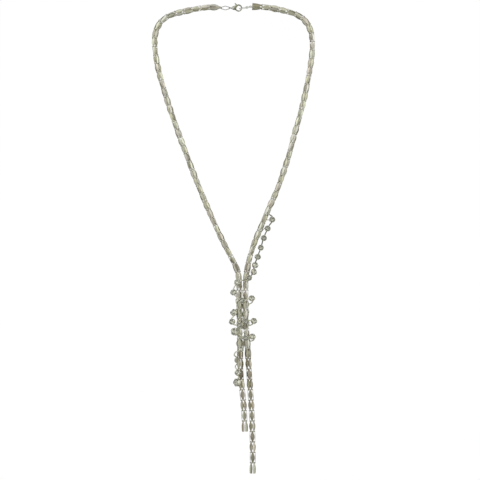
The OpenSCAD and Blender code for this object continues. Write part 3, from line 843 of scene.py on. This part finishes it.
def make_cups():
    draw = random.Random(5)
    for name, rows in (("side", STONE_ROWS[:SIDE_STONES]), ("knot", STONE_ROWS[SIDE_STONES:])):
        cups = Piece()
        for i in rows:
            cup(cups, stone_axes(i), draw.random())
        dress(cups.build("cups_" + name, [CUP_METAL], SHARP_OVER), "cup_metal", "stone_cups_" + name)


def make_stones():
    points, faces, finishes = brilliant()
    for k, i in enumerate(STONE_ROWS, 1):
        stone = Piece()
        stone.solid(placed(points, stone_axes(i)), faces, finishes)
        dress(stone.build(f"crystal_{k:02d}", [CRYSTAL, FOIL]), "crystal", f"stone_{k:02d}")


def make_links():
    flat_x = rising(0)
    lean = leaning(CLASP_RING_LEAN)
    ring_piece, oval, left, right = Piece(), Piece(), Piece(), Piece()
    link(ring_piece, CLASP_RING_X * flat_x, flat_x, lean, CLASP_RING_R, CLASP_RING_R)
    dress(ring_piece.build("clasp_wire_ring", [LINK_METAL], LINK_SHARP_OVER), "clasp_metal", "clasp_ring")
    link(oval, OVAL_X * flat_x, flat_x, UP, OVAL_HALF, OVAL_END_R, OVAL_BULGE)
    dress(oval.build("long_link", [LINK_METAL], LINK_SHARP_OVER), "clasp_metal", "oval_link")
    link(left, LEFT_EYE_X * flat_x, flat_x, FRONT, EYE_RING_R, EYE_RING_R)
    # A drop of metal runs from the eye into the gathered row: x, share of the route's height, radius
    tip_z = LEFT_ROUTE[0][1]
    drop = [(-19.1, 0.4, 0.55), (-19.5, 0.6, 0.7), (-20.2, 0.9, 1.2), (-21.2, 1, 1.5)]
    tube(left, [(x, 0, tip_z * share) for x, share, _ in drop], [r for *_, r in drop], CAP_SIDES)
    dress(left.build("left_cap", [DARK_METAL], SHARP_OVER), "clasp_metal", "left_end")

    start = in_space(CATCH_FROM)
    for k, (name, node, half, end_r, bulge, rise) in enumerate(CATCH_LINKS):
        along = rising(rise)
        start = start - (LINK_HOLD * along if k > 0 else 0)
        # Each link is square to the one that it hangs in
        turn = CATCH_LEAN + math.pi / 2 * (k % 2)
        made = Piece()
        link(made, start + half * along, along, leaning(turn), half, end_r, bulge)
        dress(made.build(name, [BRIGHT_METAL], LINK_SHARP_OVER), "clasp_metal", node)
        start = start + 2 * half * along
    eye = start + (EYE_RING_R - LINK_HOLD) * along
    link(right, eye, along, leaning(CATCH_LEAN + math.pi / 2), EYE_RING_R, EYE_RING_R)
    # The cap in the open row: distance from the eye and radius
    cap = [(1.0, 0.5), (1.3, 0.5), (1.6, 1.2), (3.2, 1.3), (3.4, 1.1)]
    tube(right, [eye + x * flat_x for x, _ in cap], [r for _, r in cap], CAP_SIDES)
    dress(right.build("right_cap", [BRIGHT_METAL], SHARP_OVER), "clasp_metal", "right_end")


def slimmer(x, z):
    """Widens the claw's opening: moves points near its inner wall outwards, but not by the lever."""
    x, z = x - CLASP_CLAW_X, np.array(z)
    r, a = np.hypot(x, z), np.degrees(np.arctan2(z, x))
    near = np.clip((CLASP_CLAW_R - r) / (CLASP_CLAW_R - CLASP_CLAW_INNER_R), 0, 1)
    clear = np.clip((SLIM_TO - a) / SLIM_FADE, 0, 1) * np.clip((a - SLIM_FROM) / SLIM_FADE, 0, 1)
    share = 1 + CLASP_SLIM * near * clear / np.maximum(r, CLASP_SLIM)
    return CLASP_CLAW_X + x * share, z * share


# The swelling makes up for what the smoothing takes off
CLASP_SWELL = 0.00004


def rounded(name, node, cell, passes, body):
    """A copy of a clasp part's solid with a slimmer claw and its edges worn round.

    It is remeshed in cells of the size cell, in metres, and smoothed in that number of passes.
    """
    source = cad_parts[node]
    obj = bpy.data.objects.new(name, source.data.copy())
    obj.data.transform(source.matrix_world)
    points = np.empty(3 * len(obj.data.vertices), np.float32)
    obj.data.vertices.foreach_get("co", points)
    points = points.reshape(-1, 3) / MM
    points[:, 0], points[:, 2] = slimmer(points[:, 0], points[:, 2])
    obj.data.vertices.foreach_set("co", (points * MM).ravel())
    bpy.context.scene.collection.objects.link(obj)
    weld = obj.modifiers.new("weld", "WELD")
    weld.merge_threshold = 1e-6
    even = obj.modifiers.new("even", "REMESH")
    even.mode, even.voxel_size, even.use_smooth_shade = "VOXEL", cell, True
    wear = obj.modifiers.new("wear", "SMOOTH")
    wear.factor, wear.iterations = 0.5, passes
    grow = obj.modifiers.new("grow", "DISPLACE")
    grow.strength, grow.mid_level = CLASP_SWELL, 0
    mesh = bpy.data.meshes.new_from_object(obj.evaluated_get(bpy.context.evaluated_depsgraph_get()))
    obj.modifiers.clear()
    obj.data = mesh
    mesh.materials.clear()
    mesh.materials.append(CLASP_METAL)
    points = np.array([v.co for v in mesh.vertices]) / MM
    tint = np.full(len(points), CLASP_TINT)
    for x, z, reach, there in CLASP_PATCHES:
        share = np.exp(-((points[:, 0] - x) ** 2 + (points[:, 2] - z) ** 2) / reach ** 2)
        tint += (there - tint) * share
    for kind, values in (("tint", tint), ("tone", np.full(len(points), CLASP_TONE))):
        made = mesh.attributes.new(kind, "FLOAT", "POINT")
        made.data.foreach_set("value", values.astype(np.float32))
    dress(obj, "clasp_metal", node, body=body)


def make_clasp():
    rounded("lobster", "clasp_body", cell=0.00011, passes=8, body="necklace")
    rounded("lobster_lever", "clasp_lever", cell=0.00009, passes=6, body="lever")


# Stage, camera and light

def make_stage():
    """A pale bowl all round that only the camera sees: a floor and a far wall in one sweep."""
    floor_z, radius, height, turn_r = -700.0, 5000.0, 4000.0, 1500.0
    profile = [(0.5, floor_z), (radius - turn_r, floor_z)]
    profile += [
        (radius - turn_r + turn_r * math.sin(a), floor_z + turn_r - turn_r * math.cos(a))
        for a in np.linspace(0, math.pi / 2, 12)
    ]
    profile.append((radius, height))
    turns = np.linspace(0, 2 * math.pi, 96, endpoint=False)
    bowl = Piece()
    bowl.grid([[(r * math.cos(a), r * math.sin(a), z) for a in turns] for r, z in profile])
    # It glows by itself, just short of white, so that thin wires don't drown in its light
    made = Finish("paper", Roughness=0.9, Emission_Strength=1.0, Specular_IOR_Level=0.0)
    made.feed(made.shader.inputs["Base Color"],
              made.ramp(made.noise(3.0), [(0.3, (0.01, 0.01, 0.01)), (0.7, (0.02, 0.02, 0.02))]))
    made.feed(made.shader.inputs["Emission Color"],
              made.ramp(made.noise(2.0), [(0.3, (0.99, 0.99, 0.99)), (0.7, (1.0, 1.0, 1.0))]))
    obj = bowl.build("paper_sweep", [made.material], STAGE_SHARP_OVER)
    obj.visible_diffuse = obj.visible_glossy = obj.visible_transmission = obj.visible_shadow = False


def make_camera():
    lens, sensor = 135.0, 36.0
    frame_width, centre_x, centre_z = 547.2, 3.42, -264.5
    data = bpy.data.cameras.new("camera")
    data.lens, data.sensor_width = lens, sensor
    data.clip_end = 100.0
    camera = bpy.data.objects.new("camera", data)
    distance = frame_width * lens / sensor
    camera.location = (centre_x * MM, -distance * MM, centre_z * MM)
    camera.rotation_euler = (math.pi / 2, 0, 0)
    bpy.context.scene.collection.objects.link(camera)
    bpy.context.scene.camera = camera


def soft_box(name, place, aim, size, watts):
    data = bpy.data.lights.new(name, "AREA")
    data.shape, data.size, data.energy = "SQUARE", size, watts
    light = bpy.data.objects.new(name, data)
    light.location = place
    way = np.asarray(aim, float) - np.asarray(place, float)
    light.rotation_euler = Vector(way).to_track_quat("-Z", "Y").to_euler()
    bpy.context.scene.collection.objects.link(light)


def make_light():
    """A pale room, dimmer below, behind and straight in front, and two soft boxes."""
    world = bpy.data.worlds.new("studio")
    world.use_nodes = True
    room = Nodes(world.node_tree)
    split = room.node("ShaderNodeSeparateXYZ")
    room.feed(split.inputs[0], room.node("ShaderNodeTexCoord").outputs["Generated"])
    height = room.ramp(room.span(split.outputs["Z"], 0.0, 1.0, from_low=-1.0, from_high=1.0), [
        (0.0, (0.42, 0.42, 0.40)), (0.35, (0.52, 0.52, 0.50)), (0.55, (0.62, 0.62, 0.60)),
        (1.0, (0.72, 0.72, 0.72)),
    ])
    depth = room.ramp(room.span(split.outputs["Y"], 0.0, 1.0, from_low=-1.0, from_high=1.0), [
        (0.0, (0.44, 0.44, 0.43)), (0.07, (0.60, 0.60, 0.59)), (0.22, (0.88, 0.88, 0.88)),
        (0.5, (1.0, 1.0, 1.0)), (0.72, (0.5, 0.5, 0.49)), (1.0, (0.3, 0.3, 0.3)),
    ])
    background = world.node_tree.nodes["Background"]
    room.feed(background.inputs["Color"], room.times(height, depth))
    background.inputs["Strength"].default_value = 1.3
    bpy.context.scene.world = world
    centre = (0, 0, -0.26)
    soft_box("key", (-1.1, -1.4, 0.6), centre, size=1.6, watts=6)
    soft_box("fill", (1.4, -1.2, 0.1), centre, size=1.2, watts=4)


make_strands()
make_string()
make_cups()
make_stones()
make_links()
make_clasp()
make_stage()
make_camera()
make_light()

bpy.context.scene.view_settings.view_transform = "Standard"
